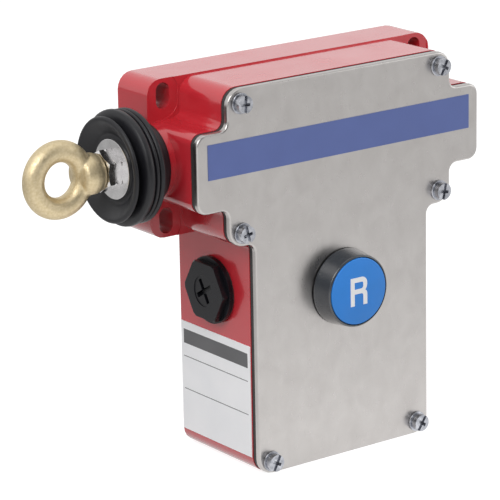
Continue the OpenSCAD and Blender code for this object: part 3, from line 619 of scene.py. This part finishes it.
legend = {
    "width": 7.5,  # in mm, as are the sizes below
    "height": 10.4,
    "stroke": 1.8,
    "bowl": 2.5,  # radius of the bowl's outer corners
    "bar": 4.3,  # height of the middle bar's lower edge
    # Where bowl, bar and leg meet, as steps to the right and up
    "knee": [(0, 1.2), (-0.25, 0.2), (-0.9, -0.75), (-0.25, -1.2), (0, -2.2)],
    "innerKnee": [(0, -0.8), (-0.25, -0.2), (-0.8, 0)],  # below the bar
    "bowlCorner": [(0.3, 0.1), (-0.3, 0)],  # inside the bowl
    "thickness": 0.08 * mm,
}


def quarter(centerX, centerZ, radius, start, steps=8):
    # A quarter turn, clockwise from the start angle in degrees
    angles = [math.radians(start - 90 * k / steps) for k in range(steps + 1)]
    return [(centerX + radius * math.cos(a), centerZ + radius * math.sin(a)) for a in angles]


def shifted(points, x, z):
    # Steps to the right and up become points of the outline
    return [(x + right, z + up) for right, up in points]


def capLegend(settings):
    low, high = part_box("reset_cap")
    width, height, stroke = settings["width"], settings["height"], settings["stroke"]
    bar, bowl = settings["bar"], settings["bowl"]
    inner = bowl - stroke
    outline = [(0, 0), (0, height)]
    outline += quarter(width - bowl, height - bowl, bowl, 90)
    outline += shifted(settings["knee"], width, bar + stroke)
    outline += [(width, 0), (width - stroke, 0)]
    outline += shifted(settings["innerKnee"], width - stroke, bar)
    outline += [(stroke, bar), (stroke, 0)]
    hole = [(stroke, bar + stroke), (stroke, height - stroke)]
    hole += quarter(width - bowl, height - bowl, inner, 90)
    hole += [(width - stroke, bar + stroke + inner)]
    hole += shifted(settings["bowlCorner"], width - bowl, bar + stroke)
    bm = bmesh.new()
    edges = []
    for loop in (outline, hole):
        ring = [bm.verts.new(((x - width / 2) * mm, 0, (z - height / 2) * mm)) for x, z in loop]
        edges += [bm.edges.new((a, b)) for a, b in zip(ring, ring[1:] + ring[:1])]
    bmesh.ops.triangle_fill(bm, use_beauty=True, use_dissolve=False, edges=edges)
    grown = bmesh.ops.extrude_face_region(bm, geom=bm.faces[:])
    raised = [v for v in grown["geom"] if isinstance(v, bmesh.types.BMVert)]
    bmesh.ops.translate(bm, verts=raised, vec=(0, -settings["thickness"], 0))
    center = ((low.x + high.x) / 2, capFront + settings["thickness"] / 2, (low.z + high.z) / 2)
    bmesh.ops.translate(bm, verts=bm.verts, vec=center)
    bmesh.ops.recalc_face_normals(bm, faces=bm.faces)
    addPiece("capLegend", bm, legendInk, "button")


labelPrint = {
    "thickness": 0.04 * mm,
    "sunk": 0.01 * mm,  # how far the print reaches into the label
    "barTop": 2.9 * mm,  # bare margin above the dark bar
    "barHeight": 5.4 * mm,
    "margin": 1.5 * mm,  # beside the bar and the rules
    "rules": (13.1, 25.6),  # distances under the label's top, in mm
    "ruleHeight": 0.28 * mm,
}


def addPlate(bm, low, high):
    made = bmesh.ops.create_cube(bm, size=1)["verts"]
    bmesh.ops.scale(bm, verts=made, vec=Vector(high) - Vector(low))
    bmesh.ops.translate(bm, verts=made, vec=(Vector(high) + Vector(low)) / 2)


def printLabel(settings):
    low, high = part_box("side_label")
    outer = low.x - settings["thickness"]
    inner = low.x + settings["sunk"]
    left = low.y + settings["margin"]
    right = high.y - settings["margin"]
    bm = bmesh.new()
    barTop = high.z - settings["barTop"]
    addPlate(bm, (outer, left, barTop - settings["barHeight"]), (inner, right, barTop))
    for distance in settings["rules"]:
        top = high.z - distance * mm
        addPlate(bm, (outer, left, top - settings["ruleHeight"]), (inner, right, top))
    addPiece("labelPrint", bm, barInk, "body")


buttonCap(cap)
capLegend(legend)
printLabel(labelPrint)
print("cap, legend and label ready")


springs = {
    "mainSpringWire": {"node": "main_spring", "mate": "rod", "axis": 0, "fixedEnd": 0},
    "resetSpringWire": {"node": "reset_spring", "mate": "button", "axis": 1, "fixedEnd": 1},
}
springMesh = {"merge": 0.001 * mm, "smooth": 75}


def stretchSpring(name, settings):
    # A spring's own coil, merged from its node and shown in the node's place
    bm = bmesh.new()
    bm.from_mesh(nodes[settings["node"]].data)
    bmesh.ops.remove_doubles(bm, verts=bm.verts, dist=springMesh["merge"])
    smoothByAngle(bm, springMesh["smooth"])
    piece = addPiece(name, bm, finishes["spring_steel"], None)
    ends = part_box(settings["node"])
    middle = (ends[0] + ends[1]) / 2
    axis, fixedEnd = settings["axis"], settings["fixedEnd"]
    fixed, moving = middle.copy(), middle.copy()
    fixed[axis], moving[axis] = ends[fixedEnd][axis], ends[1 - fixedEnd][axis]
    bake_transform(piece)
    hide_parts(settings["node"])


for name, settings in springs.items():
    stretchSpring(name, settings)
print("springs ready")
